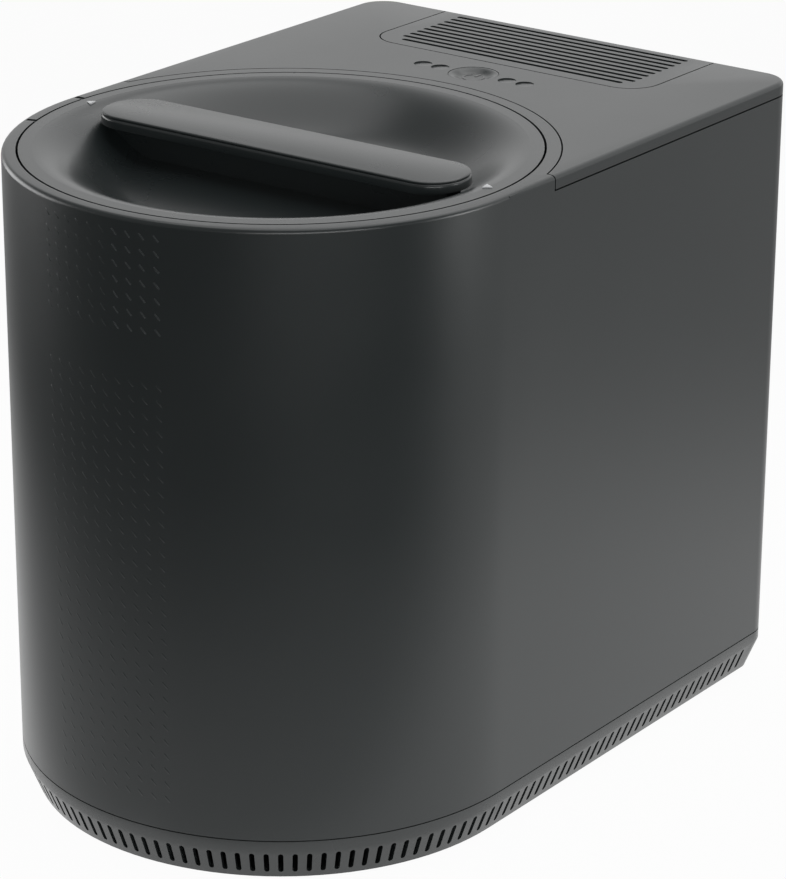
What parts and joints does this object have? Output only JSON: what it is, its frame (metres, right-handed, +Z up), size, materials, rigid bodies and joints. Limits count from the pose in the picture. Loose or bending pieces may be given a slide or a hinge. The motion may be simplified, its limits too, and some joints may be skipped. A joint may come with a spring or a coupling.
{
  "type": "electric food waste composter",
  "caption": "Countertop food waste composter: heated, stirred lift-out bucket under a twist lid, U-plan housing with a vented base and a rear filter cover.",
  "frame": {"origin": "centre of the footprint on the table, under the feet", "axes": "+Y to the rear, +X to the right seen from the front, +Z up"},
  "size_m": [0.28, 0.404, 0.3493],
  "materials": {
    "shell_plastic": "matte charcoal, fine grain",
    "base_plastic": "matte charcoal, fine grain",
    "lid_plastic": "matte charcoal, smooth",
    "pale_inlay": "pale printed inlay",
    "rubber": "soft black rubber",
    "inner_plastic": "dark plain plastic",
    "inlet_plastic": "black socket plastic",
    "steel": "plain steel",
    "sheet": "drawn aluminium",
    "cast_case": "die cast",
    "bucket_coat": "dark non-stick coat on aluminium",
    "bronze": "sintered bronze",
    "copper_winding": "enamelled copper winding",
    "seal_silicone": "grey silicone",
    "insulation": "mineral fibre",
    "board": "circuit board",
    "charcoal": "activated charcoal grains",
    "gear_steel": "sintered steel",
    "lens": "smoked clear lens"
  },
  "bodies": {
    "housing": {"outer_shell": "shell_plastic", "base_tray": "base_plastic", "feet": "rubber", "top_cover": "shell_plastic", "rear_panel": "inner_plastic", "panel_screws": "steel", "base_screws": "steel", "bayonet_ring": "inner_plastic", "reed_switch": "inner_plastic", "well_liner": "sheet", "insulation_jacket": "insulation", "heater_band": "steel", "thermostat": "steel", "chassis_plate": "sheet", "chassis_posts": "steel", "gearbox_lower_case": "cast_case", "gearbox_upper_case": "cast_case", "gearbox_screws": "steel", "gearbox_bushes": "bronze", "output_bearing": "steel", "shaft_seal": "rubber", "motor_can": "steel", "motor_stator": "copper_winding", "exhaust_duct": "sheet", "blower_housing": "inner_plastic", "blower_motor": "steel", "blower_bracket": "sheet", "filter_tray": "inner_plastic", "control_board": "board", "indicator_lenses": "lens", "main_board": "board", "power_inlet": "inlet_plastic", "inlet_pins": "steel"},
    "inner_lid": {"inner_lid_plate": "inner_plastic", "lid_seal": "seal_silicone", "lid_pivot": "steel"},
    "lid": {"lid_dish": "lid_plastic", "lid_handle": "lid_plastic", "lid_arrows": "pale_inlay", "lid_screws": "steel", "lid_magnet": "steel"},
    "bucket": {"bucket_pot": "bucket_coat", "bucket_hub": "bucket_coat", "bucket_bush": "bronze", "fixed_blades": "steel"},
    "bail": {"bail_wire": "steel", "bail_grip": "rubber"},
    "agitator": {"agitator_shaft": "steel", "agitator_blades": "steel"},
    "output_drive": {"output_shaft": "steel", "output_gear": "gear_steel"},
    "lay_drive": {"layshaft": "gear_steel"},
    "rotor": {"motor_rotor": "gear_steel"},
    "fan": {"fan_wheel": "inner_plastic"},
    "button": {"power_button": "lid_plastic"},
    "filter_cover": {"filter_cover": "shell_plastic"},
    "filter": {"filter_case": "inner_plastic", "filter_charcoal": "charcoal"}
  },
  "joints": [
    {"name": "lid_lift", "type": "slide", "parent": "housing", "child": "inner_lid", "axis": [0, 0, 1], "range_m": [0, 0.4]},
    {"name": "lid_twist", "type": "hinge", "parent": "inner_lid", "child": "lid", "pos_m": [0, -0.062, 0.34], "axis": [0, 0, 1], "range_deg": [0, 20]},
    {"name": "bucket_lift", "type": "slide", "parent": "housing", "child": "bucket", "axis": [0, 0, 1], "range_m": [0, 0.2]},
    {"name": "bail_turn", "type": "hinge", "parent": "bucket", "child": "bail", "pos_m": [0, -0.062, 0.30875], "axis": [-1, 0, 0], "range_deg": [0, 90]},
    {"name": "agitator_turn", "type": "hinge", "parent": "bucket", "child": "agitator", "pos_m": [0, -0.062, 0.15], "axis": [0, 0, 1], "continuous": true},
    {"name": "output_turn", "type": "hinge", "parent": "housing", "child": "output_drive", "pos_m": [0, -0.062, 0.1], "axis": [0, 0, 1], "continuous": true},
    {"name": "layshaft_turn", "type": "hinge", "parent": "housing", "child": "lay_drive", "pos_m": [0.03, -0.01004, 0.08], "axis": [0, 0, 1], "continuous": true},
    {"name": "rotor_turn", "type": "hinge", "parent": "housing", "child": "rotor", "pos_m": [0.07677, -0.03704, 0.08], "axis": [0, 0, 1], "continuous": true},
    {"name": "fan_turn", "type": "hinge", "parent": "housing", "child": "fan", "pos_m": [0, 0.1535, 0.2], "axis": [0, 0, 1], "continuous": true},
    {"name": "power_button_press", "type": "slide", "parent": "housing", "child": "button", "axis": [0, 0, -1], "range_m": [0, 0.0012], "stiffness_N_per_m": 400},
    {"name": "filter_cover_lift", "type": "slide", "parent": "housing", "child": "filter_cover", "axis": [0, 0, 1], "range_m": [0, 0.24]},
    {"name": "filter_lift", "type": "slide", "parent": "housing", "child": "filter", "axis": [0, 0, 1], "range_m": [0, 0.12]}
  ],
  "couplings": [
    {"joint": "bucket_lift", "follows": "lid_lift", "ratio": 0.5},
    {"joint": "bail_turn", "follows": "lid_lift", "rad_per_m": 3.9},
    {"joint": "agitator_turn", "follows": "output_turn", "ratio": 1},
    {"joint": "layshaft_turn", "follows": "output_turn", "ratio": -4},
    {"joint": "rotor_turn", "follows": "output_turn", "ratio": 20},
    {"joint": "filter_lift", "follows": "filter_cover_lift", "ratio": 0.5}
  ]
}
